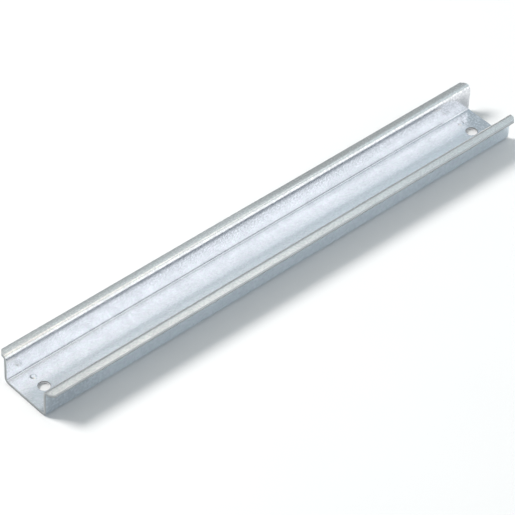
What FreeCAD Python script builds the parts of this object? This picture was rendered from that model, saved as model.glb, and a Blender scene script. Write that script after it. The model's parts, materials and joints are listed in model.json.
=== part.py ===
"""Mounting rail with a hat-shaped section, folded from one strip of zinc-coated steel.

Switchgear and terminal blocks clip over its two outward flanges. The section is the usual
35 mm wide and 15 mm deep one. The rail is cut to length, its flange corners are clipped,
and each end has one fixing hole through the web with a small locating pip beside it.

Millimetres. X runs along the rail, Y across it and Z up. The origin is on the underside,
in the middle of the length and the width, so the rail lies on its web with its open side up.
"""
import os
from math import sqrt

import FreeCAD
import Part

Vector = FreeCAD.Vector

# Strip and cut length
RAIL_LENGTH = 270.0
SHEET = 1.5

# Hat section
WIDTH_OVER_FLANGES = 35.0
WIDTH_OVER_WALLS = 27.0
RAIL_HEIGHT = 15.0
WEB_BEND_INSIDE = 1.0
FLANGE_BEND_INSIDE = 0.8
STRIP_EDGE_ROUND = 0.3

# Clipped flange corners, measured along either edge
CORNER_CLIP = 2.0

# Fixing holes through the web
HOLE_DIAMETER = 5.5
HOLE_FROM_END = 10.0

# Locating pips, half pierced upwards out of the web
PIP_DIAMETER = 3.0
PIP_RISE = 0.5
PIP_SHOULDER = 0.3
PIP_TO_HOLE = 7.0
PIP_DENT_SHRINK = 0.2

# Sizes that follow from the ones above
WALL_OUTSIDE = WIDTH_OVER_WALLS / 2
WALL_INSIDE = WALL_OUTSIDE - SHEET
FLANGE_EDGE = WIDTH_OVER_FLANGES / 2
FLANGE_UNDERSIDE = RAIL_HEIGHT - SHEET
WEB_BEND_OUTSIDE = WEB_BEND_INSIDE + SHEET
FLANGE_BEND_OUTSIDE = FLANGE_BEND_INSIDE + SHEET
WEB_BEND_CENTRE = (WALL_OUTSIDE - WEB_BEND_OUTSIDE, WEB_BEND_OUTSIDE)
FLANGE_BEND_CENTRE = (WALL_OUTSIDE + FLANGE_BEND_INSIDE, FLANGE_UNDERSIDE - FLANGE_BEND_INSIDE)
LOWER_EDGE_CENTRE = (FLANGE_EDGE - STRIP_EDGE_ROUND, FLANGE_UNDERSIDE + STRIP_EDGE_ROUND)
UPPER_EDGE_CENTRE = (FLANGE_EDGE - STRIP_EDGE_ROUND, RAIL_HEIGHT - STRIP_EDGE_ROUND)
HOLE_X = RAIL_LENGTH / 2 - HOLE_FROM_END

# Directions on the section, as (y, z)
OUTWARD = (1, 0)
UPWARD = (0, 1)
INWARD = (-1, 0)
DOWNWARD = (0, -1)


def section_point(y, z):
    """A point of the section, which is drawn at the left end of the rail."""
    return Vector(-RAIL_LENGTH / 2, y, z)


def straight(start, end):
    """A straight stretch of the section between two (y, z) points."""
    return Part.LineSegment(section_point(*start), section_point(*end)).toShape()


def bend(centre, radius, start, end):
    """A quarter turn of the section: an arc about a (y, z) centre, from one direction to the next."""
    halfway = ((start[0] + end[0]) / sqrt(2), (start[1] + end[1]) / sqrt(2))
    on_arc = [
        section_point(centre[0] + radius * y, centre[1] + radius * z)
        for y, z in (start, halfway, end)
    ]
    return Part.Arc(*on_arc).toShape()


def half_section():
    """The edges of the section on the +Y side, from the underside round to the top of the web."""
    web_y, web_z = WEB_BEND_CENTRE
    flange_y, flange_z = FLANGE_BEND_CENTRE
    edge_y, lower_edge_z = LOWER_EDGE_CENTRE
    upper_edge_z = UPPER_EDGE_CENTRE[1]
    return [
        straight((0, 0), (web_y, 0)),
        bend(WEB_BEND_CENTRE, WEB_BEND_OUTSIDE, DOWNWARD, OUTWARD),
        straight((WALL_OUTSIDE, web_z), (WALL_OUTSIDE, flange_z)),
        bend(FLANGE_BEND_CENTRE, FLANGE_BEND_INSIDE, INWARD, UPWARD),
        straight((flange_y, FLANGE_UNDERSIDE), (edge_y, FLANGE_UNDERSIDE)),
        bend(LOWER_EDGE_CENTRE, STRIP_EDGE_ROUND, DOWNWARD, OUTWARD),
        straight((FLANGE_EDGE, lower_edge_z), (FLANGE_EDGE, upper_edge_z)),
        bend(UPPER_EDGE_CENTRE, STRIP_EDGE_ROUND, OUTWARD, UPWARD),
        straight((edge_y, RAIL_HEIGHT), (flange_y, RAIL_HEIGHT)),
        bend(FLANGE_BEND_CENTRE, FLANGE_BEND_OUTSIDE, UPWARD, INWARD),
        straight((WALL_INSIDE, flange_z), (WALL_INSIDE, web_z)),
        bend(WEB_BEND_CENTRE, WEB_BEND_INSIDE, OUTWARD, DOWNWARD),
        straight((web_y, SHEET), (0, SHEET)),
    ]


def folded_strip():
    """The hat section pushed along the whole length."""
    far_side = half_section()
    near_side = [edge.mirror(Vector(0, 0, 0), Vector(0, 1, 0)) for edge in far_side]
    outline = Part.Wire(Part.__sortEdges__(far_side + near_side))
    strip = Part.Face(outline).extrude(Vector(RAIL_LENGTH, 0, 0))
    return strip.removeSplitter()


def clipped_corners():
    """Four upright prisms that take the flange corners off at 45 degrees."""
    prisms = []
    for end in (-1, 1):
        for side in (-1, 1):
            corner = Vector(end * RAIL_LENGTH / 2, side * FLANGE_EDGE, 0)
            past_end = corner + Vector(end * CORNER_CLIP, -side * CORNER_CLIP, 0)
            past_side = corner + Vector(-end * CORNER_CLIP, side * CORNER_CLIP, 0)
            on_end = corner - Vector(0, side * CORNER_CLIP, 0)
            on_side = corner - Vector(end * CORNER_CLIP, 0, 0)
            beyond = corner + Vector(end * CORNER_CLIP, side * CORNER_CLIP, 0)
            outline = Part.makePolygon([on_end, past_end, beyond, past_side, on_side, on_end])
            prisms.append(Part.Face(outline).extrude(Vector(0, 0, RAIL_HEIGHT + SHEET)))
    return prisms


def fixing_holes():
    """One round hole through the web near each end, on the centre line."""
    return [
        Part.makeCylinder(HOLE_DIAMETER / 2, 3 * SHEET, Vector(end * HOLE_X, 0, -SHEET))
        for end in (-1, 1)
    ]


def round_peg(x, radius, bottom, top):
    """An upright peg beside the hole at x, with its upper edge rounded off."""
    peg = Part.makeCylinder(radius, top - bottom, Vector(x, PIP_TO_HOLE, bottom))
    rim = [edge for edge in peg.Edges if edge.CenterOfMass.z > top - PIP_SHOULDER / 2]
    return peg.makeFillet(PIP_SHOULDER, rim)


def pressed_pips(rail):
    """The rail with a pip standing up beside each hole, and its dent in the underside."""
    for end in (-1, 1):
        x = end * HOLE_X
        pip = round_peg(x, PIP_DIAMETER / 2, SHEET / 2, SHEET + PIP_RISE)
        dent = round_peg(x, (PIP_DIAMETER - PIP_DENT_SHRINK) / 2, -SHEET, PIP_RISE)
        rail = rail.fuse(pip).cut(dent)
    return rail


def make_rail():
    """The finished rail: folded, clipped at its corners, pierced and pressed."""
    rail = folded_strip()
    for tool in clipped_corners() + fixing_holes():
        rail = rail.cut(tool)
    return pressed_pips(rail).removeSplitter()


def main():
    os.makedirs("parts", exist_ok=True)
    rail = make_rail()
    box = rail.BoundBox
    print("rail valid:", rail.isValid(), "solids:", len(rail.Solids))
    print("size mm: %.2f x %.2f x %.2f" % (box.XLength, box.YLength, box.ZLength))
    print("volume cm3: %.3f, faces: %d" % (rail.Volume / 1000, len(rail.Faces)))
    rail.Solids[0].exportStep("parts/rail.step")


main()
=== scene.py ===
# %% [markdown]
# A mounting rail, dressed for a studio picture.
#
# The rail is one strip of sheet steel, rolled to a hat section, pierced and clipped, then
# plated with zinc. The frame holds its solid at real size. This lesson gives it the skin of
# the real one: bends that ease into the flats beside them, edges that a tool has sheared,
# and a plating that mirrors its neighbours softly. Everything is in metres, with the origin
# under the middle of the rail, X along it and Z up.

# %% Load the frame
import json
import math

import bpy
import numpy as np
from mathutils import Matrix, Vector


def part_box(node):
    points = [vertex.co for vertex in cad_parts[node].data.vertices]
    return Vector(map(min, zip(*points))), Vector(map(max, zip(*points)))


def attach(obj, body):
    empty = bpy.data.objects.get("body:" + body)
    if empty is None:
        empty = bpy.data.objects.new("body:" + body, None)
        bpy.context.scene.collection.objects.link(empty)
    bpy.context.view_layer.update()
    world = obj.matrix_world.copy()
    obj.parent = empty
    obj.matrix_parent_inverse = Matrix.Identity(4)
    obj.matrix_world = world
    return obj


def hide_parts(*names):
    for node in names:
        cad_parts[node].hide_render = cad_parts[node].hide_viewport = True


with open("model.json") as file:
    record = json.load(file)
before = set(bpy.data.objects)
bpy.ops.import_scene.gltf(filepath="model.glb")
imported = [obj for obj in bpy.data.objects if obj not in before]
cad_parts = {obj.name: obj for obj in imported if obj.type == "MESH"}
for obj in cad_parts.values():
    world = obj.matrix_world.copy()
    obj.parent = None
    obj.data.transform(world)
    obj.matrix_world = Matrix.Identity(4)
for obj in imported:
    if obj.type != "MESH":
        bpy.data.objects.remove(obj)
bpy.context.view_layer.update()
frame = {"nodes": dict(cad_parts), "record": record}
print("frame nodes:", sorted(frame["nodes"]))

# %% [markdown]
# Sizes. The length, width and height come from the frame, and the hole spacing and radius
# from its mount. The rest are the sizes that the strip was rolled and pressed to. A reader
# who changes one of them changes every surface below, because nothing else holds a size.
# The far flange bulges upwards by a hair, so the walls are drawn lower by that much and the
# whole rail keeps the frame's height.

# %% Sizes of the rail
MM = 0.001
FLANGE_BULGE = 0.03 * MM
rail_top_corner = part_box("rail")[1]
HALF_LENGTH = rail_top_corner.x
HALF_WIDTH = rail_top_corner.y
RAIL_HEIGHT = rail_top_corner.z - FLANGE_BULGE
SHEET = 1.5 * MM
WALL_OUTSIDE = 13.5 * MM
WEB_BEND_INSIDE = 0.8 * MM
FLANGE_BEND_INSIDE = 0.4 * MM
STRIP_EDGE_ROUND = 0.36 * MM
CORNER_CLIP = 2.0 * MM
holes = next(mount for mount in frame["record"]["mounts"] if mount["name"] == "fixing_holes")
HOLE_X = holes["dims"]["spacing_x_mm"] * MM / 2
HOLE_RADIUS = holes["dims"]["hole_r_mm"] * MM
PIP_Y = 7.0 * MM
PIP_RADIUS = 1.7 * MM
PIP_FLAT = 0.8 * MM
PIP_RISE = 0.25 * MM
print("length %.1f, width %.1f, height over the walls %.2f mm"
      % (2 * HALF_LENGTH / MM, 2 * HALF_WIDTH / MM, RAIL_HEIGHT / MM))

# %% [markdown]
# The section as a walk. A rolled strip keeps its thickness, so its section is best told as
# a walk along the middle of the sheet: how far each step goes and which way it heads. The
# heading is 0 along the web and 90 degrees up the wall. Rollers don't bend a strip at one
# point: the sheet leans over gently before the tight arc and after it. Those gentle leads
# are what makes the soft bands beside each bend in the plating's reflections. An arc
# between two straight lines would be simpler to write, but its bands would end too sharply.
# Each lead is given as the degrees it turns by and the length it takes.

# %% Steps and headings of a bend
GRID = 0.5 * MM
BEND_STEPS = 12
LEAD_STEPS = 5
SUPPORT = 0.03 * MM
WEB_LEAD = (6.5, 2.6 * MM)
WALL_FOOT_LEAD = (2.5, 1.2 * MM)
WALL_TOP_LEAD = (7.0, 2.8 * MM)
FLANGE_LEAD = (1.5, 0.8 * MM)


def bend(inside, lead, trail):
    """Steps and headings round a right angle: the heading grows evenly over the lead, then over
    the tight arc (length = radius * angle), then over the trail."""
    radius = inside + SHEET / 2
    arc = radius * math.radians(90 - lead[0] - trail[0])
    marks = np.cumsum([0, lead[1], arc, trail[1]])
    walked = np.concatenate([
        np.linspace(marks[0], marks[1], LEAD_STEPS, endpoint=False),
        np.linspace(marks[1], marks[2], BEND_STEPS, endpoint=False),
        np.linspace(marks[2], marks[3], LEAD_STEPS + 1),
    ])
    return np.diff(walked), np.radians(np.interp(walked, marks, [0, lead[0], 90 - trail[0], 90]))


def walk(steps, heading):
    """Points of a walk: the running sum of step * (cos, sin) of the heading half-way through it."""
    half_way = (heading[1:] + heading[:-1]) / 2
    moves = steps[:, None] * np.column_stack([np.cos(half_way), np.sin(half_way)])
    return np.vstack([(0, 0), np.cumsum(moves, axis=0)])


low_steps, low_heading = bend(WEB_BEND_INSIDE, WEB_LEAD, WALL_FOOT_LEAD)
top_steps, top_heading = bend(FLANGE_BEND_INSIDE, WALL_TOP_LEAD, FLANGE_LEAD)
top_heading = math.pi / 2 - top_heading
low_reach = walk(low_steps, low_heading)[-1]
top_reach = walk(top_steps, top_heading)[-1]
print("bends reach %.2f and %.2f mm along the sheet" % (low_reach[0] / MM, top_reach[1] / MM))

# %% [markdown]
# The middle line. What the bends leave over is straight: the web, the wall and the flange.
# Only the half on the +Y side is walked, and the other half is its mirror image. The web is
# cut into even half-millimetre steps, because the round features need a regular grid there.
# A very short last step on the flange keeps the shading of its edge from creeping inwards.
# A section drawn by hand would need its lengths worked out again after each change of size.
# Here they follow by themselves.

# %% Middle line of the strip
WALL_COUNT = 4
FLANGE_COUNT = 5
web_length = WALL_OUTSIDE - SHEET / 2 - low_reach[0]
wall_length = RAIL_HEIGHT - SHEET - low_reach[1] - top_reach[1]
flange_length = HALF_WIDTH - STRIP_EDGE_ROUND - (WALL_OUTSIDE - SHEET / 2) - top_reach[0]
web_count = round(web_length / GRID)
half_steps = np.concatenate([
    np.full(web_count, web_length / web_count),
    low_steps,
    np.full(WALL_COUNT, wall_length / WALL_COUNT),
    top_steps,
    np.full(FLANGE_COUNT, (flange_length - SUPPORT) / FLANGE_COUNT),
    [SUPPORT],
])
half_heading = np.concatenate([
    np.zeros(web_count),
    low_heading,
    np.full(WALL_COUNT - 1, math.pi / 2),
    top_heading,
    np.zeros(FLANGE_COUNT + 1),
])
half_points = walk(half_steps, half_heading) + (0, SHEET / 2)
half_directions = np.column_stack([-np.sin(half_heading), np.cos(half_heading)])
half_walked = np.concatenate([[0], np.cumsum(half_steps)])
mirror = np.array([-1, 1])
middle = np.vstack([half_points[:0:-1] * mirror, half_points])
facing = np.vstack([half_directions[:0:-1] * mirror, half_directions])
walked = np.concatenate([half_walked[:0:-1], half_walked])
print("strip width before rolling: %.1f mm in %d points" % (2 * half_walked[-1] / MM, len(middle)))

# %% [markdown]
# The closed outline. Half a thickness to either side of the middle line gives the two faces
# of the sheet. The outline runs over the upper face from one flange edge to the other,
# turns round the strip's slit edge, comes back along the lower face and turns round the
# other edge. A slit edge is two small quarter rounds with a flat between them. A Solidify
# modifier could thicken an open sheet instead, but it would leave those edges square.

# %% Closed outline of the section
EDGE_STEPS = 4


def turn(centre, radius, first, last, steps):
    """Points of an arc and their outward directions: centre + radius * (cos a, sin a)."""
    angle = np.radians(np.linspace(first, last, steps + 1))
    out = np.column_stack([np.cos(angle), np.sin(angle)])
    return np.array(centre) + radius * out, out


def slit_edge():
    """Points round the +Y edge of the strip, from its upper face to its lower one."""
    y = HALF_WIDTH - STRIP_EDGE_ROUND
    top = RAIL_HEIGHT - STRIP_EDGE_ROUND
    bottom = RAIL_HEIGHT - SHEET + STRIP_EDGE_ROUND
    upper, upper_out = turn((y, top), STRIP_EDGE_ROUND, 90, 0, EDGE_STEPS)
    lower, lower_out = turn((y, bottom), STRIP_EDGE_ROUND, 0, -90, EDGE_STEPS)
    return np.vstack([upper[1:], lower[:-1]]), np.vstack([upper_out[1:], lower_out[:-1]])


edge_points, edge_out = slit_edge()
outline = np.vstack([
    middle + facing * SHEET / 2,
    edge_points,
    (middle - facing * SHEET / 2)[::-1],
    edge_points[::-1] * mirror,
])
outward = np.vstack([facing, edge_out, -facing[::-1], edge_out[::-1] * mirror])
RUN = len(middle)
TURN = len(edge_points)
AROUND = len(outline)
print("outline:", AROUND, "points round the section")

# %% [markdown]
# Fallen flanges. A rolled flange springs back when it leaves the last rollers, so it falls
# away or lifts a little towards its edge, and it curls down more the further out it is. That
# is a slope and a square law, both laid over the finished outline. The slope also wanders
# along the rail, because no two stretches of strip spring back alike. It is only a tenth of
# a millimetre, yet it decides which part of the studio the flange mirrors, and so how light
# it looks. Turning the whole flange by one angle would light it evenly, as no real one is.

# %% Fall of the flanges
FALL_AT = np.array([-125, -95, -50, 0, 30, 60, 95, 130]) * MM
NEAR_SLOPE = (0.7, 1.9, 1.9, 2.3, 2.2, 1.9, 0.6, 0.4)
FAR_SLOPE = (-2.2, -1.3, -1.5, -1.8, 1.9, 2.1, 1.7, 1.4)
NEAR_CURL = 0.03 * MM
FAR_CURL = 0.126 * MM
FALL_SOFTNESS = 0.3 * MM
PAST_THE_BEND = 0.8 * MM
FALL_START = WALL_OUTSIDE + PAST_THE_BEND


def fall(points, slopes, curl):
    """Drop = tan(slope at x) * p + curl * (p / width) squared, with p the softened distance
    past the bend: p = (d + sqrt(d * d + softness * softness)) / 2."""
    past = np.abs(points[:, 1]) - FALL_START
    past = (past + np.hypot(past, FALL_SOFTNESS)) / 2
    slope = np.tan(np.radians(np.interp(points[:, 0], FALL_AT, slopes)))
    return slope * past + curl * (past / (HALF_WIDTH - FALL_START)) ** 2


print("slopes of the flanges: %.1f to %.1f degrees" % (min(FAR_SLOPE), max(NEAR_SLOPE)))

# %% [markdown]
# Crown of the web. Folding both sides up leaves the wide web a little fuller in the middle,
# by less than a tenth of a millimetre. Such a low swelling can't be seen as a shape, but it
# spreads the bright band that the web mirrors and gives it its soft far edge. It dies away
# before the ends, where the sheet was clamped for the shears. A lattice or a bent plane
# could do it too, but a cosine added to z is shorter and lies on both faces alike.

# %% Crown of the web
CROWN_HEIGHT = 0.09 * MM
CROWN_WIDTH = 11 * MM
CROWN_END = 120 * MM
CROWN_FADE = 12 * MM


def crown(points):
    """Lift = crown height * cos(pi * y / crown width) squared, times a fade towards the ends."""
    across = np.clip(np.abs(points[:, 1]) / CROWN_WIDTH, 0, 0.5)
    on_web = points[:, 2] < SHEET + CROWN_HEIGHT
    along = np.clip((CROWN_END - np.abs(points[:, 0])) / CROWN_FADE, 0, 1)
    return CROWN_HEIGHT * np.cos(math.pi * across) ** 2 * along * on_web


def fallen(points):
    """The points with each flange's drop taken off their z and the web's crown added."""
    near = fall(points, NEAR_SLOPE, NEAR_CURL)
    far = fall(points, FAR_SLOPE, FAR_CURL)
    drop = np.where(points[:, 1] < 0, near, far) - crown(points)
    return points - drop[:, None] * (0, 0, 1)


print("crown: %.2f mm over the middle %.0f mm" % (CROWN_HEIGHT / MM, CROWN_WIDTH / MM))

# %% [markdown]
# Along the rail. The outline is carried along X through a row of stations. They are far
# apart in the plain middle and half a millimetre apart near the ends, where the holes and
# pips need a fine grid. In the last few millimetres each station bends towards the clipped
# flange corners: a point lies further back the further it is out on the flange. The last
# rings shrink the outline along its own directions, for the burr-free rim of the cut. A
# curve object could carry the section too, but it would cut both ends off straight.

# %% Stations along the rail
FINE_FROM = 115 * MM
COARSE_COUNT = 47
CLIP_FROM = 129 * MM
CLIP_SOFTNESS = 0.6 * MM
END_ROUND = 0.06 * MM
END_RINGS = 4


def clipped_back(y):
    """How far the end lies back at y: a softened maximum of 0 and the distance past the clip."""
    past = np.abs(y) - (HALF_WIDTH - CORNER_CLIP)
    at_middle = np.hypot(HALF_WIDTH - CORNER_CLIP, CLIP_SOFTNESS) - (HALF_WIDTH - CORNER_CLIP)
    return (past + np.hypot(past, CLIP_SOFTNESS) - at_middle) / 2


def station_ring(x):
    """The outline at one station, with the clip blended in over the last millimetres."""
    share = max(0.0, (abs(x) - CLIP_FROM) / (HALF_LENGTH - CLIP_FROM))
    along = np.sign(x) * (abs(x) - clipped_back(outline[:, 0]) * share)
    return fallen(np.column_stack([along, outline]))


def end_ring(side, angle, further_in=0.0):
    """The outline on the rim of the cut: angle 0 is the rim's foot, 90 degrees the end face."""
    inset = END_ROUND * (1 - math.cos(angle))
    beyond = END_ROUND * (math.sin(angle) - 1) - further_in
    along = side * (HALF_LENGTH + beyond - clipped_back(outline[:, 0]))
    return fallen(np.column_stack([along, outline - outward * inset]))


coarse = np.linspace(-FINE_FROM, FINE_FROM, COARSE_COUNT)
fine = np.arange(FINE_FROM + GRID, HALF_LENGTH - GRID / 2, GRID)
stations = np.concatenate([-fine[::-1], coarse, fine])
angles = np.radians(np.linspace(0, 90, END_RINGS + 1))
skin = np.array(
    [end_ring(-1, a) for a in angles[::-1]] + [end_ring(-1, 0.0, SUPPORT)]
    + [station_ring(x) for x in stations]
    + [end_ring(1, 0.0, SUPPORT)] + [end_ring(1, a) for a in angles])
ROWS = len(skin)
FIRST_ROW = END_RINGS + 2
print("skin grid:", ROWS, "rings of", AROUND)

# %% [markdown]
# Faces of the skin. The grid is closed round the section, so the last column joins the
# first. At each end a ladder of faces joins the upper face to the lower one, which closes
# the cut end of the sheet. A mask says which cells of the web are left out, because a hole
# or a pip takes their place. Edge loops can be bridged by hand in Edit Mode as well, but
# numbered vertices join in the same way each time the script runs.

# %% Grid faces and end ladders
def vertex(row, column):
    """Number of a grid vertex: rows one after another, columns closed into a ring."""
    return row * AROUND + np.mod(column, AROUND)


def under(column):
    """The column on the lower face that lies under a column of the upper face."""
    return 2 * RUN + TURN - 1 - column


def end_ladder(row, forward):
    """Quads across the sheet's thickness at one end, edge by edge from flange to flange."""
    over = np.arange(-TURN // 2, RUN + TURN // 2)
    below = under(over)
    quads = np.column_stack([
        vertex(row, over[:-1]), vertex(row, over[1:]),
        vertex(row, below[1:]), vertex(row, below[:-1])])
    return quads if forward else quads[:, ::-1]


row_numbers, column_numbers = np.meshgrid(np.arange(ROWS - 1), np.arange(AROUND), indexing="ij")
cell_quads = np.stack([
    vertex(row_numbers, column_numbers),
    vertex(row_numbers, column_numbers + 1),
    vertex(row_numbers + 1, column_numbers + 1),
    vertex(row_numbers + 1, column_numbers),
], axis=-1)
keep_cell = np.ones((ROWS - 1, AROUND), bool)
ladders = np.vstack([end_ladder(0, False), end_ladder(ROWS - 1, True)])
print("ladder faces:", len(ladders))

# %% [markdown]
# Room for round features. Each hole or pip takes the place of a square of grid cells on the
# web, on one face of the sheet or on both. A Boolean cut could make the hole too, but it
# leaves long thin faces that shade badly.

# %% Squares in the grid
extra_points = []
extra_quads = []
extra_triangles = []
wall_quads = []


def square_in_grid(x, y, half_size):
    """Rows and columns of the grid lines that bound a square about (x, y) on the web."""
    station_x = skin[FIRST_ROW:ROWS - FIRST_ROW, RUN // 2, 0]
    rows = FIRST_ROW + np.flatnonzero(np.abs(station_x - x) < half_size + GRID / 4)
    on_web = np.abs(middle[:, 0]) < web_length + GRID / 4
    columns = np.flatnonzero(on_web & (np.abs(middle[:, 0] - y) < half_size + GRID / 4))
    return rows[0], rows[-1], columns[0], columns[-1]


def rim_numbers(square, lower):
    """Vertex numbers round the square's border, in the same order on both faces."""
    r0, r1, c0, c1 = square
    rows = np.concatenate([
        np.arange(r0, r1), np.full(c1 - c0, r1), np.arange(r1, r0, -1), np.full(c1 - c0, r0)])
    columns = np.concatenate([
        np.full(r1 - r0, c0), np.arange(c0, c1), np.full(r1 - r0, c1), np.arange(c1, c0, -1)])
    return vertex(rows, under(columns) if lower else columns)


def leave_out(square, lower):
    """Marks the grid cells inside the square as left out."""
    r0, r1, c0, c1 = square
    if lower:
        c0, c1 = under(c1), under(c0)
    keep_cell[r0:r1, c0:c1] = False


print("helpers: square_in_grid, rim_numbers, leave_out")

# %% [markdown]
# Rings. The profile of a round feature is turned about its own axis, one ring of vertices
# for each step of the profile. The outer ring is drawn out towards the square that it
# replaces: a blend from 0 (round) to 1 (square) does that, so no seam shows. The Spin tool
# turns a profile too, but its rings can't end in a square.

# %% Turned rings
def turned_ring(x, y, rim, radius, height, squareness):
    """A ring at one radius and height: round, or drawn out towards the square's border."""
    border = skin.reshape(-1, 3)[rim]
    flat = border[:, :2] - (x, y)
    circle = flat / np.linalg.norm(flat, axis=1)[:, None] * radius
    ring = circle * (1 - squareness) + flat * squareness + (x, y)
    return np.column_stack([ring, np.full(len(rim), height)])


def add_points(points):
    """Keeps new vertices and returns their numbers, counted on after the grid's own."""
    first = ROWS * AROUND + sum(len(p) for p in extra_points)
    extra_points.append(points)
    return np.arange(first, first + len(points))


def ring_quads(a, b):
    """Quads between two rings of vertex numbers."""
    return np.column_stack([a, b, np.roll(b, -1), np.roll(a, -1)])


print("helpers: turned_ring, add_points, ring_quads")

# %% [markdown]
# Fixing holes. A round hole is punched through the web near each end. The punch draws the
# upper rim in a little and breaks out below, so both rims are small quarter rounds, and the
# wall between them gets a finish of its own. The profile is a list of radius, height and
# squareness, from the square on the upper face down to the square on the lower one.

# %% Punched holes
HOLE_SQUARE = 4 * MM
HOLE_LAND = 0.6 * MM
LAND_SQUARENESS = 0.4
TOP_RIM = 0.12 * MM
BOTTOM_RIM = 0.10 * MM


def punch(x, y):
    """A round hole: land, upper rim, straight wall, lower rim, land."""
    square = square_in_grid(x, y, HOLE_SQUARE)
    upper, lower = rim_numbers(square, False), rim_numbers(square, True)
    leave_out(square, False)
    leave_out(square, True)
    land = HOLE_RADIUS + HOLE_LAND
    into, _ = turn((HOLE_RADIUS + TOP_RIM, SHEET - TOP_RIM), TOP_RIM, 90, 180, EDGE_STEPS)
    out, _ = turn((HOLE_RADIUS + BOTTOM_RIM, BOTTOM_RIM), BOTTOM_RIM, 180, 270, EDGE_STEPS)
    profile = [(land, SHEET, LAND_SQUARENESS), (land, SHEET, 0.0)]
    profile += [(into[0, 0] + SUPPORT, SHEET, 0.0)]
    profile += [(r, z, 0.0) for r, z in np.vstack([into, out])]
    profile += [(out[-1, 0] + SUPPORT, 0.0, 0.0)]
    profile += [(land, 0.0, 0.0), (land, 0.0, LAND_SQUARENESS)]
    before = upper
    for radius, height, squareness in profile:
        ring = add_points(turned_ring(x, y, upper, radius, height, squareness))
        is_wall = 0.0 < height < SHEET - TOP_RIM / 2
        (wall_quads if is_wall else extra_quads).append(ring_quads(before, ring))
        before = ring
    extra_quads.append(ring_quads(before, lower))


for side in (-1, 1):
    punch(side * HOLE_X, 0.0)
print("holes of %.1f mm, %.0f mm apart" % (2 * HOLE_RADIUS / MM, 2 * HOLE_X / MM))

# %% [markdown]
# Pips. Beside each hole a blunt punch has pushed the sheet up by a fraction of a millimetre
# and left a dent of the same form underneath. The pushed form is a small flat top with sides
# that follow half a cosine wave, so it has no sharp edge: steel that is pushed and not cut
# stays rounded. The pip and its dent each end in a single point in the middle. Sculpted
# pips would differ from each other, and the real ones come from one punch.

# %% Pushed pips
PIP_SQUARE = 2 * MM
PIP_RINGS = 10
DENT_SHRINK = 0.15 * MM


def push(x, y, radius, base, lower):
    """A pip, or its dent in the lower face: rise over base = pip rise * (1 + cos(pi * u)) / 2,
    with u the share of the way down the side."""
    square = square_in_grid(x, y, PIP_SQUARE)
    rim = rim_numbers(square, lower)
    leave_out(square, lower)
    radii = np.linspace(radius, PIP_FLAT, PIP_RINGS)
    rise = PIP_RISE * (1 + np.cos(math.pi * (radii - PIP_FLAT) / (radius - PIP_FLAT))) / 2
    profile = [(radius + SUPPORT, base)] + [(r, base + up) for r, up in zip(radii, rise)]
    before = rim
    quads = []
    for ring_radius, height in profile:
        ring = add_points(turned_ring(x, y, rim, ring_radius, height, 0.0))
        quads.append(ring_quads(before, ring))
        before = ring
    tip = add_points(np.array([[x, y, base + PIP_RISE]]))
    triangles = np.column_stack([before, np.full(len(before), tip[0]), np.roll(before, -1)])
    extra_quads.extend([q[:, ::-1] for q in quads] if lower else quads)
    extra_triangles.append(triangles[:, ::-1] if lower else triangles)


for side in (-1, 1):
    push(side * HOLE_X, PIP_Y, PIP_RADIUS, SHEET, False)
    push(side * HOLE_X, PIP_Y, PIP_RADIUS - DENT_SHRINK, 0.0, True)
print("cells left out:", int((~keep_cell).sum()), "new points:", sum(len(p) for p in extra_points))

# %% [markdown]
# Putting the mesh together. All the faces go into one mesh with four finishes, numbered in
# this order: the plated faces, the slit edges of the strip, the cut ends and the hole walls.
# Four objects would be easier to paint, but their shading would break where they meet. A
# closed mesh has a signed volume, and its sign tells whether the faces point outwards.

# %% Build the rail's mesh
points = np.vstack([skin.reshape(-1, 3)] + extra_points)
cut = np.zeros((ROWS - 1, AROUND), bool)
cut[:END_RINGS] = True
cut[ROWS - 1 - END_RINGS:] = True
slit = np.zeros((ROWS - 1, AROUND), bool)
slit[:, RUN - 1:RUN + TURN] = True
slit[:, 2 * RUN + TURN - 1:] = True
slit &= ~cut
quads_of = [
    np.vstack([cell_quads[keep_cell & ~slit & ~cut]] + extra_quads),
    cell_quads[slit],
    np.vstack([cell_quads[cut], ladders]),
    np.vstack(wall_quads),
]
triangles = np.vstack(extra_triangles)


def signed_volume(quads, triangles):
    """Sum over triangles of (a x b) . c / 6, with each quad cut in two."""
    halves = np.vstack([triangles, quads[:, [0, 1, 2]], quads[:, [0, 2, 3]]])
    a, b, c = (points[halves[:, k]] for k in range(3))
    return float(np.einsum("ij,ij->i", np.cross(a, b), c).sum() / 6)


volume = signed_volume(np.vstack(quads_of), triangles)
if volume < 0:
    quads_of = [quads[:, ::-1] for quads in quads_of]
    triangles = triangles[:, ::-1]
mesh = bpy.data.meshes.new("plated_rail")
faces = [face for quads in quads_of for face in quads.tolist()] + triangles.tolist()
mesh.from_pydata(points.tolist(), [], faces)
counts = [len(quads) for quads in quads_of]
finish_of_face = np.zeros(len(faces), np.int32)
finish_of_face[:sum(counts)] = np.repeat(np.arange(len(counts)), counts)
mesh.polygons.foreach_set("material_index", finish_of_face)
mesh.polygons.foreach_set("use_smooth", np.ones(len(faces), bool))
mesh.update()
print("steel volume: %.2f cm3 in %d faces" % (abs(volume) * 1e6, len(faces)))

# %% [markdown]
# Depth and flange. The finishes need to know where on the strip they are, and a named
# attribute tells them: one number per vertex that a material can read. Depth is 0 on the
# upper face of the sheet and 1 on the lower one, so a cut face can show its bands and the
# rail's outside can be told from its inside. Flange is 1 on the flanges and 0 elsewhere.
# Painting by x, y and z in the material would do too, but it would have to know the section.

# %% Depth and flange attributes
FLANGE_FADE = 1.2 * MM


def write_attribute(name, values):
    """Writes one number per vertex as a named attribute of the mesh."""
    written = mesh.attributes.new(name, "FLOAT", "POINT")
    written.data.foreach_set("value", values.astype(np.float32))
    print("%s: mean %.3f" % (name, values.mean()))


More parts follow.
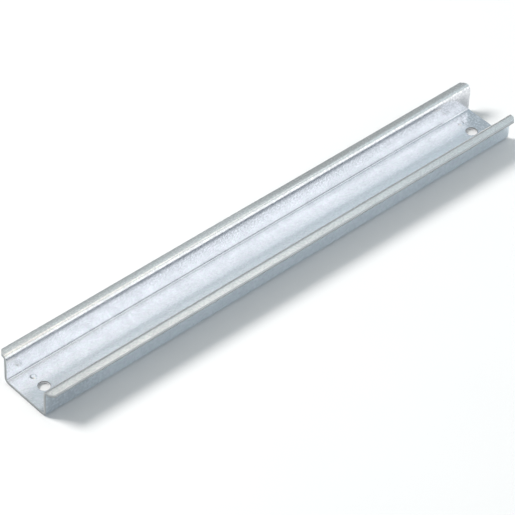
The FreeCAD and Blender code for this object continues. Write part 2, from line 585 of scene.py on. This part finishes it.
extra = np.vstack(extra_points)
ring_depth = np.concatenate([
    np.zeros(RUN), np.linspace(0, 1, TURN), np.ones(RUN), np.linspace(1, 0, TURN)])
depth = np.concatenate([np.tile(ring_depth, ROWS), np.clip(1 - extra[:, 2] / SHEET, 0, 1)])
write_attribute("depth", depth)
flange_from = half_walked[-1] - flange_length - top_steps.sum() + WALL_TOP_LEAD[1]
run_flange = np.clip((walked - flange_from) / FLANGE_FADE, 0, 1)
ring_flange = np.concatenate([run_flange, np.ones(TURN), run_flange[::-1], np.ones(TURN)])
flange = np.concatenate([np.tile(ring_flange, ROWS), np.zeros(len(extra))])
write_attribute("flange", flange)

# %% [markdown]
# Painted corner shade. The bend between web and wall gets a narrow core of painted shade
# along its middle, and on the web beside it lies a broader, fainter band of painted shade
# that grows along the rail. The core is a bell curve of the distance walked from the middle
# of the bend. It could be painted by hand, but a curve fades without an edge.

# %% Painted corner shade attribute
CORNER_SHADE_CORE = 0.6 * MM
SHADE_BAND_REACH = 3.4 * MM
SHADE_BAND_FADE = 1.8 * MM
CORNER_SHADE_AT = np.array([-60, -10, 40, 95]) * MM
SHADE_BAND_STRENGTH = (0.05, 0.15, 0.30, 0.35)
SHADE_CORE_STRENGTH = (0.75, 0.85, 0.95, 1.0)

corner_walked = web_length + low_steps.sum() / 2
from_corner = np.abs(walked - corner_walked)
shade_core = np.exp(-(from_corner / CORNER_SHADE_CORE) ** 2)
shade_band = np.clip((SHADE_BAND_REACH - from_corner) / SHADE_BAND_FADE, 0, 1) * (walked < corner_walked)
row_x = skin[:, RUN // 2, 0]
shade_core_strength = np.interp(row_x, CORNER_SHADE_AT, SHADE_CORE_STRENGTH)[:, None]
shade_band_strength = np.interp(row_x, CORNER_SHADE_AT, SHADE_BAND_STRENGTH)[:, None]
# Painted shade in the inside corner: a narrow darker core and a broader band on the web, stronger
# towards +X.
corner = np.zeros((ROWS, AROUND))
corner[:, :RUN] = np.maximum(shade_core_strength * shade_core, shade_band_strength * shade_band)
write_attribute("corner", np.concatenate([corner.ravel(), np.zeros(len(extra))]))

# %% [markdown]
# Painted shade. Darker reflections are painted into the colour in three places: the upper
# half of both walls, more so from the middle of the rail onwards, the end of the web past one
# hole, and the outside of the near wall by the opposite end. Each is a product of ramps along
# the axes, and a vertex keeps the strongest of the three. Ramps are easier to read and to
# move than a painted mask. Values above 1 are meant: they fill the gaps in the speckle that
# the plating's crystals lay over the painted shade.

# %% Painted shade attribute
SHADE_ALONG = np.array([-135, -75, -42, 30]) * MM
SHADE_ALONG_STRENGTH = (0.15, 0.35, 0.85, 1.0)
SHADE_UP = np.array([5.0, 8.0, 10.5]) * MM
SHADE_UP_STRENGTH = (0.0, 0.3, 0.9)
WEB_END = np.array([122, 131]) * MM
WEB_END_STRENGTH = (0.0, 1.2)
WEB_TOP = np.array([1.6, 2.6]) * MM
WEB_TOP_STRENGTH = (1.0, 0.0)
OUTSIDE_END = np.array([-132, -100]) * MM
OUTSIDE_END_STRENGTH = (1.6, 0.0)

x, y, z = points.T
inside = 1 - np.maximum(depth, flange)
wall_shade = np.interp(x, SHADE_ALONG, SHADE_ALONG_STRENGTH) * np.interp(z, SHADE_UP, SHADE_UP_STRENGTH)
web_shade = np.interp(x, WEB_END, WEB_END_STRENGTH) * np.interp(z, WEB_TOP, WEB_TOP_STRENGTH)
outside_shade = np.interp(x, OUTSIDE_END, OUTSIDE_END_STRENGTH) * (y < 0) * depth
# Painted shade: darker reflections on the walls, the web's end and the near wall's outside.
write_attribute("painted_shade", np.maximum(inside * np.maximum(wall_shade, web_shade), outside_shade))

# %% [markdown]
# Riding on the frame. The mesh becomes an object that sits at the origin, unturned and
# unscaled, with its place in its vertices. The rail has no moving parts, so it has one body.
# The new skin takes the place of the frame's plain solid, which is hidden, and it is parented
# to an empty named after its body.

# %% Ride on the frame
rail = bpy.data.objects.new("plated_rail", mesh)
bpy.context.scene.collection.objects.link(rail)
print("faces mended:", mesh.validate(verbose=False))
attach(rail, "root")
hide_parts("rail")
print("the rail rides on root and replaces the frame's rail")

# %% [markdown]
# Helpers for shader nodes. A node tree reads best when each node is made in one line with
# what goes into it, so these helpers take either a number or another node's output for
# every input. Building the trees by hand in the shader editor gives the same materials, but
# a script shows every value and can be read from top to bottom.

# %% Node helpers
def node(tree, kind, inputs=None, **settings):
    """One shader node: settings are its options, inputs are values or other nodes' outputs."""
    made = tree.nodes.new(kind)
    for name, value in settings.items():
        setattr(made, name, value)
    for name, value in (inputs or {}).items():
        if isinstance(value, bpy.types.NodeSocket):
            tree.links.new(value, made.inputs[name])
        else:
            made.inputs[name].default_value = value
    return made


def maths(tree, operation, *values, **settings):
    """The result of one Math node."""
    made = node(tree, "ShaderNodeMath", dict(enumerate(values)), operation=operation, **settings)
    return made.outputs[0]


def attribute(tree, name):
    """The number that a named attribute holds at the shaded point."""
    return node(tree, "ShaderNodeAttribute", attribute_name=name).outputs["Fac"]


def spread(tree, value, low, high, to_low=0.0, to_high=1.0):
    """A value stretched from one range to another, smoothly at both ends."""
    ranges = {"From Min": low, "From Max": high, "To Min": to_low, "To Max": to_high}
    ranges["Value"] = value
    return node(tree, "ShaderNodeMapRange", ranges, interpolation_type="SMOOTHSTEP").outputs[0]


def mixed(tree, factor, first, second):
    """Two colours mixed by a factor."""
    made = node(tree, "ShaderNodeMix", {0: factor}, data_type="RGBA")
    for socket, value in ((made.inputs[6], first), (made.inputs[7], second)):
        if isinstance(value, bpy.types.NodeSocket):
            tree.links.new(value, socket)
        else:
            socket.default_value = (*value, 1.0)
    return made.outputs[2]


def multiplied(tree, first, second):
    """Two colours multiplied with each other."""
    made = node(tree, "ShaderNodeMix", {0: 1.0}, data_type="RGBA", blend_type="MULTIPLY")
    tree.links.new(first, made.inputs[6])
    tree.links.new(second, made.inputs[7])
    return made.outputs[2]


print("helpers: node, maths, attribute, spread, mixed, multiplied")

# %% [markdown]
# Helpers for groups, noises and relief. An effect that several finishes share becomes a node
# group with named sockets, built once and placed in each material. Sizes in them are real
# ones: a position divided by a size counts in that size, so a noise of scale 1 on it has
# clouds of about that width. All heights are in millimetres, because the Bump node's
# distance is one millimetre.

# %% Group, noise and material helpers
def new_group(name, inputs, outputs):
    """An empty node group with named sockets: its tree, its inputs and its outputs."""
    tree = bpy.data.node_groups.new(name, "ShaderNodeTree")
    for label, kind, value in inputs:
        socket = tree.interface.new_socket(label, in_out="INPUT", socket_type=kind)
        if value is not None:
            socket.default_value = value
    for label in outputs:
        tree.interface.new_socket(label, in_out="OUTPUT", socket_type="NodeSocketFloat")
    return tree, tree.nodes.new("NodeGroupInput").outputs, tree.nodes.new("NodeGroupOutput").inputs


def scaled_position(tree, position, size):
    """The position counted in sizes: position / size."""
    inputs = {0: position, "Scale": maths(tree, "DIVIDE", 1.0, size)}
    return node(tree, "ShaderNodeVectorMath", inputs, operation="SCALE").outputs[0]


def noise(tree, position, size, detail, **shape):
    """A noise whose clouds are about one size wide; shape gives the rest of its inputs."""
    scaled = scaled_position(tree, position, size)
    inputs = {"Vector": scaled, "Scale": 1.0, "Detail": detail, **shape}
    return node(tree, "ShaderNodeTexNoise", inputs)


def bump(tree, shader, height):
    """Leans the shader's normal after a height in millimetres."""
    relief = node(tree, "ShaderNodeBump", {"Height": height, "Distance": MM, "Strength": 1.0})
    tree.links.new(relief.outputs["Normal"], shader.inputs["Normal"])


def new_material(name):
    """An empty node material: the material, its tree and its Principled BSDF."""
    material = bpy.data.materials.new(name)
    material.use_nodes = True
    return material, material.node_tree, material.node_tree.nodes["Principled BSDF"]


print("helpers: new_group, scaled_position, noise, bump, new_material")

# %% [markdown]
# Bloom of the plating. Zinc from a bath isn't even. Under a lamp it shows soft cloudy
# patches a few millimetres wide, and inside them fine crystals that catch the light one by
# one, each with a tint of its own. Two noises of different size give them, and the second
# one's colour gives the tint. A picture of zinc would need a flat layout of the rail and
# would repeat; noises in Object coordinates stay at real size wherever the group is used.

# %% Group: zinc bloom
PATCH_RANGE = (0.30, 0.70)
CRYSTAL_RANGE = (0.35, 0.65)

bloom, given, result = new_group("zinc_bloom", [
    ("Position", "NodeSocketVector", None),
    ("Patch Size", "NodeSocketFloat", 6 * MM),
    ("Crystal Size", "NodeSocketFloat", 1.0 * MM),
], ["Patches", "Crystals", "Tint"])
where = given["Position"]
patch_noise = noise(bloom, where, given["Patch Size"], detail=2.0, Roughness=0.45, Distortion=0.4)
crystal_noise = noise(bloom, where, given["Crystal Size"], detail=1.0, Roughness=0.6)
channels = node(bloom, "ShaderNodeSeparateColor", {"Color": crystal_noise.outputs["Color"]})
bloom.links.new(spread(bloom, patch_noise.outputs["Fac"], *PATCH_RANGE), result["Patches"])
bloom.links.new(spread(bloom, crystal_noise.outputs["Fac"], *CRYSTAL_RANGE), result["Crystals"])
bloom.links.new(spread(bloom, channels.outputs["Blue"], *CRYSTAL_RANGE), result["Tint"])
print("zinc_bloom:", len(bloom.nodes), "nodes")

# %% [markdown]
# Rolling marks. The rollers leave faint lines along the strip, much longer than they are
# wide. Stretching a noise along X makes them: X is counted in line lengths, and Y and Z in
# line widths, so the web shows them across Y and the walls show them across Z. Lines thinner
# than a hair aren't worth the millions of faces that engraving them would take.

# %% Group: rolling marks
LINE_RANGE = (0.55, 0.75)

rolling, given, result = new_group("rolling_marks", [
    ("Position", "NodeSocketVector", None),
    ("Line Width", "NodeSocketFloat", 0.4 * MM),
    ("Line Length", "NodeSocketFloat", 60 * MM),
], ["Height", "Lines"])
axes = node(rolling, "ShaderNodeSeparateXYZ", {0: given["Position"]}).outputs
stretched = node(rolling, "ShaderNodeCombineXYZ", {
    "X": maths(rolling, "DIVIDE", axes["X"], given["Line Length"]),
    "Y": maths(rolling, "DIVIDE", axes["Y"], given["Line Width"]),
    "Z": maths(rolling, "DIVIDE", axes["Z"], given["Line Width"]),
}).outputs[0]
line_noise = node(rolling, "ShaderNodeTexNoise", {
    "Vector": stretched, "Scale": 1.0, "Detail": 3.0, "Roughness": 0.6}).outputs["Fac"]
rolling.links.new(maths(rolling, "SUBTRACT", line_noise, 0.5), result["Height"])
rolling.links.new(spread(rolling, line_noise, *LINE_RANGE), result["Lines"])
print("rolling_marks:", len(rolling.nodes), "nodes")

# %% [markdown]
# Handling marks. Rails are bundled, slid over each other and picked up, which leaves short
# thin scuffs in every direction. A noise stretched strongly one way, cut off near its top,
# gives short dashes. Two of them, turned against each other, cross as real scuffs do.

# %% Group: handling marks
SCUFF_TURNS = (0.5, -0.9)
SCUFF_STRETCH = 14.0
SCUFF_RANGE = (0.66, 0.76)

handling, given, result = new_group("handling_marks", [
    ("Position", "NodeSocketVector", None),
    ("Scuff Width", "NodeSocketFloat", 0.25 * MM),
], ["Scuffs"])
counted = scaled_position(handling, given["Position"], given["Scuff Width"])
dashes = []
for angle in SCUFF_TURNS:
    turned = node(handling, "ShaderNodeMapping", {
        "Vector": counted, "Rotation": (angle, angle, angle),
        "Scale": (1 / SCUFF_STRETCH, 1.0, 1.0)})
    streaks = node(handling, "ShaderNodeTexNoise", {
        "Vector": turned.outputs[0], "Scale": 1.0, "Detail": 1.0})
    dashes.append(spread(handling, streaks.outputs["Fac"], *SCUFF_RANGE))
handling.links.new(maths(handling, "MAXIMUM", *dashes), result["Scuffs"])
print("handling_marks:", len(handling.nodes), "nodes")

# %% [markdown]
# Zinc plating: the film. Bright zinc is a metal with a cool colour, and it mirrors its
# surroundings in a soft blur. Over that colour lie a painted cool reflection on the outside of
# the rail, a painted warm reflection on the flanges and painted grey shade in the corner. All
# of it is one metallic Principled BSDF, and the attributes choose between the colours. A coat
# over a plain metal is the other way, but it adds a second, sharper mirror.

# %% Film of the plating, with painted reflections and shade
INSIDE_FILM = (0.970, 0.970, 0.990)
# Painted reflection: a cool blue tint on the outside of the rail.
PAINTED_COOL_REFLECTION = (0.872, 0.942, 0.998)
# Painted reflection: a warm straw tint on the flanges.
PAINTED_WARM_REFLECTION = (1.000, 0.966, 0.930)
# Painted shade: the grey colour laid into the inside corner between web and wall.
PAINTED_CORNER_SHADE = (0.690, 0.710, 0.735)

zinc, tree, shader = new_material("zinc_plating")
shader.inputs["Metallic"].default_value = 1.0
mesh.materials.append(zinc)
position = node(tree, "ShaderNodeTexCoord").outputs["Object"]
cloud = node(tree, "ShaderNodeGroup", {"Position": position}, node_tree=bloom).outputs
marks = node(tree, "ShaderNodeGroup", {"Position": position}, node_tree=rolling).outputs
scuffs = node(tree, "ShaderNodeGroup", {"Position": position}, node_tree=handling).outputs
on_flange, in_corner = attribute(tree, "flange"), attribute(tree, "corner")
on_outside, painted_shade = attribute(tree, "depth"), attribute(tree, "painted_shade")
film_and_painted_light = mixed(tree, on_outside, INSIDE_FILM, PAINTED_COOL_REFLECTION)
film_and_painted_light = mixed(tree, on_flange, film_and_painted_light, PAINTED_WARM_REFLECTION)
film_and_painted_light = mixed(tree, in_corner, film_and_painted_light, PAINTED_CORNER_SHADE)
print("film ready:", len(tree.nodes), "nodes")

# %% [markdown]
# Zinc plating: the grain. Crystals and patches darken the film by a few per cent, and each
# crystal leans a little to violet or to green. The grain shows more on the flanges and the
# outside, which the rollers rubbed, than on the sheltered inside. The painted shade is laid
# over it in speckles that follow the crystals. Film and grain are multiplied, so that the
# grain stays visible in every colour of the film.

# %% Grain of the plating, with the painted shade
BRIGHT_GRAIN = (1.000, 1.000, 1.000)
DULL_GRAIN = (0.845, 0.848, 0.862)
PAINTED_SHADE_GRAIN = (0.735, 0.745, 0.762)
VIOLET_GRAIN = (0.975, 0.930, 0.985)
GREEN_GRAIN = (0.905, 0.975, 0.945)
CRYSTAL_SHARE = 0.7
TINT_SHARE = 0.35
INSIDE_CONTRAST = 0.9
RUBBED_CONTRAST = 0.5
SHADE_SPECKLE, EVEN_SHADE = 1.3, 0.2

patch_part = maths(tree, "MULTIPLY", cloud["Patches"], 1 - CRYSTAL_SHARE)
cloudiness = maths(tree, "MULTIPLY_ADD", cloud["Crystals"], CRYSTAL_SHARE, patch_part)
rubbed = maths(tree, "MAXIMUM", on_flange, on_outside)
contrast = maths(tree, "MULTIPLY_ADD", rubbed, RUBBED_CONTRAST, INSIDE_CONTRAST)
from_mean = maths(tree, "SUBTRACT", cloudiness, 0.5)
cloudiness = maths(tree, "MULTIPLY_ADD", from_mean, contrast, 0.5)
tinted = mixed(tree, cloud["Tint"], VIOLET_GRAIN, GREEN_GRAIN)
grain = mixed(tree, cloudiness, BRIGHT_GRAIN, DULL_GRAIN)
grain = mixed(tree, TINT_SHARE, grain, tinted)
# Painted shade is mixed into the grain here, in speckles that follow the crystals.
shade_speckle = maths(tree, "MULTIPLY_ADD", cloud["Crystals"], SHADE_SPECKLE, EVEN_SHADE)
shade_speckle = maths(tree, "MULTIPLY", painted_shade, shade_speckle, use_clamp=True)
grain = mixed(tree, shade_speckle, grain, PAINTED_SHADE_GRAIN)
tree.links.new(multiplied(tree, film_and_painted_light, grain), shader.inputs["Base Color"])
print("grain ready:", len(tree.nodes), "nodes")

# %% [markdown]
# Zinc plating: gloss and relief. The patches, lines, scuffs and the painted corner shade each
# make the mirror a little rougher. The sheet isn't quite flat either: a low wave a few
# millimetres long makes the reflected bands waver, as they do on every rolled sheet, and
# crystals and rolling lines stand up by a few thousandths of a millimetre.

# %% Gloss and relief of the plating
PLAIN_ROUGHNESS = 0.20
ROUGHER = {"patches": 0.05, "lines": 0.04, "scuffs": 0.06, "corner": 0.06}
WAVE_SIZE = 9 * MM
WAVE_HEIGHT = 0.015
CRYSTAL_HEIGHT = 0.0055
LINE_HEIGHT = 0.003

gloss = maths(tree, "MULTIPLY_ADD", cloud["Patches"], ROUGHER["patches"], PLAIN_ROUGHNESS)
gloss = maths(tree, "MULTIPLY_ADD", marks["Lines"], ROUGHER["lines"], gloss)
gloss = maths(tree, "MULTIPLY_ADD", scuffs["Scuffs"], ROUGHER["scuffs"], gloss)
gloss = maths(tree, "MULTIPLY_ADD", in_corner, ROUGHER["corner"], gloss)
tree.links.new(gloss, shader.inputs["Roughness"])
wave = noise(tree, position, WAVE_SIZE, detail=1.0).outputs["Fac"]
height = maths(tree, "MULTIPLY", wave, WAVE_HEIGHT)
height = maths(tree, "MULTIPLY_ADD", cloud["Crystals"], CRYSTAL_HEIGHT, height)
height = maths(tree, "MULTIPLY_ADD", marks["Height"], LINE_HEIGHT, height)
bump(tree, shader, height)
print("zinc_plating:", len(tree.nodes), "nodes")

# %% [markdown]
# Slit edges, cut ends and hole walls. A blade cuts a sheet in two ways at once: the upper
# part of the thickness is rubbed smooth, and the rest tears and stays grainy. The depth
# attribute tells the two bands apart. The slit edges were plated after slitting, so they
# keep a duller zinc, while the ends show steel. The hole walls were plated too, and both
# their bands carry painted light: painted shade under the rim, and below it a painted
# reflection of the pale floor. One function makes all three, because they differ only in
# their colours and roughness.

# %% Cut finishes
TEAR_SIZE = 0.25 * MM
TEAR_HEIGHT = 0.02
TEAR_WANDER = 0.25
TEAR_FROM, TEAR_TO = 0.30, 0.50
CRYSTAL_STAIN = 0.3


def cut_material(name, rubbed, torn, smooth, rough):
    """A cut face: rubbed colour and smooth roughness above, torn colour and rough one below. On the
    hole wall both colours are painted: shade above and a floor reflection below.
    """
    material, tree, shader = new_material(name)
    shader.inputs["Metallic"].default_value = 1.0
    mesh.materials.append(material)
    position = node(tree, "ShaderNodeTexCoord").outputs["Object"]
    inputs = {"Position": position, "Crystal Size": TEAR_SIZE}
    cloud = node(tree, "ShaderNodeGroup", inputs, node_tree=bloom).outputs
    wander = maths(tree, "SUBTRACT", cloud["Patches"], 0.5)
    uneven_depth = maths(tree, "MULTIPLY_ADD", wander, TEAR_WANDER, attribute(tree, "depth"))
    torn_band = spread(tree, uneven_depth, TEAR_FROM, TEAR_TO)
    shade = mixed(tree, torn_band, rubbed, torn)
    shade = mixed(tree, maths(tree, "MULTIPLY", cloud["Crystals"], CRYSTAL_STAIN), shade, torn)
    tree.links.new(shade, shader.inputs["Base Color"])
    tree.links.new(spread(tree, torn_band, 0.0, 1.0, smooth, rough), shader.inputs["Roughness"])
    tears = noise(tree, position, TEAR_SIZE, detail=3.0).outputs["Fac"]
    tears = maths(tree, "MULTIPLY", tears, torn_band)
    bump(tree, shader, maths(tree, "MULTIPLY", tears, TEAR_HEIGHT))


cut_material("plated_slit_edge", rubbed=(0.50, 0.52, 0.53), torn=(0.43, 0.45, 0.465),
             smooth=0.32, rough=0.42)
cut_material("sheared_steel", rubbed=(0.47, 0.49, 0.50), torn=(0.35, 0.37, 0.38),
             smooth=0.36, rough=0.55)
# Painted light on the hole wall: dark painted shade under the rim, and a bright painted reflection
# of the floor below it.
cut_material("pierced_wall_painted_light", rubbed=(0.26, 0.27, 0.28), torn=(0.86, 0.86, 0.87),
             smooth=0.50, rough=0.45)
print("finishes on the rail:", [material.name for material in mesh.materials])

# %% [markdown]
# Floor. The rail lies on a sheet of pale card, large enough to fill every view. Card isn't
# a flat colour either: a very faint cloudiness and a fibrous tooth keep it from looking
# like a digital white. A curved backdrop would do too, but it has to stand behind the rail,
# and a wide flat card serves every view.

# %% Card floor
FLOOR_REACH = 6.0
PALE_CARD = (0.885, 0.885, 0.885)
SHADED_CARD = (0.865, 0.866, 0.868)
FIBRE_SIZE = 1.2 * MM
FIBRE_HEIGHT = 0.01
CLOUD_SIZE = 60 * MM
CARD_ROUGHNESS = 0.9

corners = np.array([(-1, -1, 0), (1, -1, 0), (1, 1, 0), (-1, 1, 0)]) * FLOOR_REACH
floor_mesh = bpy.data.meshes.new("studio_floor")
floor_mesh.from_pydata(corners.tolist(), [], [(0, 1, 2, 3)])
studio_floor = bpy.data.objects.new("studio_floor", floor_mesh)
bpy.context.scene.collection.objects.link(studio_floor)
card, tree, shader = new_material("pale_card")
shader.inputs["Roughness"].default_value = CARD_ROUGHNESS
position = node(tree, "ShaderNodeTexCoord").outputs["Object"]
clouds = noise(tree, position, CLOUD_SIZE, detail=2.0).outputs["Fac"]
fibres = noise(tree, position, FIBRE_SIZE, detail=4.0).outputs["Fac"]
tree.links.new(mixed(tree, clouds, PALE_CARD, SHADED_CARD), shader.inputs["Base Color"])
bump(tree, shader, maths(tree, "MULTIPLY", fibres, FIBRE_HEIGHT))
floor_mesh.materials.append(card)
print("floor reaches %.0f m each way" % FLOOR_REACH)

# %% [markdown]
# Lamps. A mirror-like metal shows its studio, so the lamps are placed by what each face of
# the rail should show. Looking from the near left, the web mirrors the ceiling behind the
# rail, the walls mirror it after two bounces, and the bends sweep over everything from the
# ceiling down to the front. A weak wide panel and a warmer narrow one make the ceiling, with
# a gap between them that gives the web its darker strip, and a softbox stands in front. A
# small strong key behind the rail, on the left, lights the floor and throws the soft shadow
# forward. Mirrors don't see it, because it would burn spots into the bends. A picture of a
# studio, wrapped round the world, could light the rail as well, but a panel can be moved
# until one face shows it in the right place. Its power is radiance * pi * area.

# %% Panels and softboxes
def panel(name, centre, size, radiance, aimed=True, turned=0.0):
    """A rectangular lamp that looks at the rail, or else straight down, turned about Z."""
    width, length = size
    light = bpy.data.lights.new(name, "AREA")
    light.shape = "RECTANGLE"
    light.size, light.size_y = width, length
    light.energy = max(radiance) * math.pi * width * length
    light.color = [value / max(radiance) for value in radiance]
    lamp = bpy.data.objects.new(name, light)
    lamp.location = centre
    lamp.rotation_mode = "QUATERNION"
    level = Matrix.Rotation(math.radians(turned), 3, "Z").to_quaternion()
    lamp.rotation_quaternion = Vector(centre).to_track_quat("Z", "Y") if aimed else level
    bpy.context.scene.collection.objects.link(lamp)
    print("%s: %.0f W" % (name, light.energy))
    return lamp


panel("weak_panel", centre=(1.45, 0.275, 1.25), size=(2.00, 1.49),
      radiance=(0.240, 0.308, 0.350), aimed=False)
panel("overhead_panel", centre=(0.322, 0.15, 1.20), size=(0.80, 1.32),
      radiance=(0.49, 0.43, 0.37), aimed=False, turned=-13.0)
panel("front_softbox", centre=(0.80, -1.05, 0.74), size=(1.0, 1.45),
      radiance=(0.835, 0.857, 0.868))
key = panel("key_from_behind", centre=(-0.85, 1.18, 1.60), size=(0.7, 0.7),
            radiance=(28.0, 27.3, 26.6))
key.visible_glossy = False

# %% [markdown]
# Air. The rest of the studio is a dim cool room that fills the shadows. Near the horizon it
# is paler, as where walls meet the lit floor. A world colour that changes with height is
# enough for that, and no picture of a real studio is needed.

# %% World
ROOM = (0.335, 0.370, 0.388)
HORIZON = (0.62, 0.64, 0.66)
HORIZON_HEIGHT = 0.10

world = bpy.data.worlds.new("studio_air")
bpy.context.scene.world = world
world.use_nodes = True
tree = world.node_tree
direction = node(tree, "ShaderNodeTexCoord").outputs["Generated"]
upwards = node(tree, "ShaderNodeSeparateXYZ", {0: direction}).outputs["Z"]
above = spread(tree, upwards, 0.0, HORIZON_HEIGHT)
tree.links.new(mixed(tree, above, HORIZON, ROOM), tree.nodes["Background"].inputs["Color"])
tree.nodes["Background"].inputs["Strength"].default_value = 1.0
print("room colour:", ROOM)

# %% [markdown]
# Camera. It looks at the rail from the near left and well above, through a long lens, and
# it is rolled by a few degrees, as a hand-levelled camera often is. The direction is given
# by an azimuth and an elevation, and the place by the distance from the aim. Dragging the
# camera by hand would do, but numbers can be measured from the rail's edges and repeated.

# %% Camera
CAMERA_AZIMUTH = math.radians(-44.06)
CAMERA_ELEVATION = math.radians(43.40)
CAMERA_ROLL = math.radians(2.86)
CAMERA_DISTANCE = 1.2797
CAMERA_AIM = Vector((-5.73, 0.66, 1.33)) * MM
CAMERA_LENS = 206.68
SENSOR_WIDTH = 36.0
NEAR_CLIP, FAR_CLIP = 0.05, 30.0

away = Vector((
    math.sin(CAMERA_AZIMUTH) * math.cos(CAMERA_ELEVATION),
    -math.cos(CAMERA_AZIMUTH) * math.cos(CAMERA_ELEVATION),
    math.sin(CAMERA_ELEVATION),
))
camera_data = bpy.data.cameras.new("studio_camera")
camera_data.lens = CAMERA_LENS
camera_data.sensor_width = SENSOR_WIDTH
camera_data.clip_start, camera_data.clip_end = NEAR_CLIP, FAR_CLIP
camera = bpy.data.objects.new("studio_camera", camera_data)
camera.rotation_mode = "QUATERNION"
roll = Matrix.Rotation(CAMERA_ROLL, 4, "Z").to_quaternion()
camera.rotation_quaternion = away.to_track_quat("Z", "Y") @ roll
camera.location = CAMERA_AIM + away * CAMERA_DISTANCE
bpy.context.scene.collection.objects.link(camera)
bpy.context.scene.camera = camera
bpy.context.scene.view_settings.view_transform = "Standard"
print("camera at", tuple(round(v, 3) for v in camera.location))
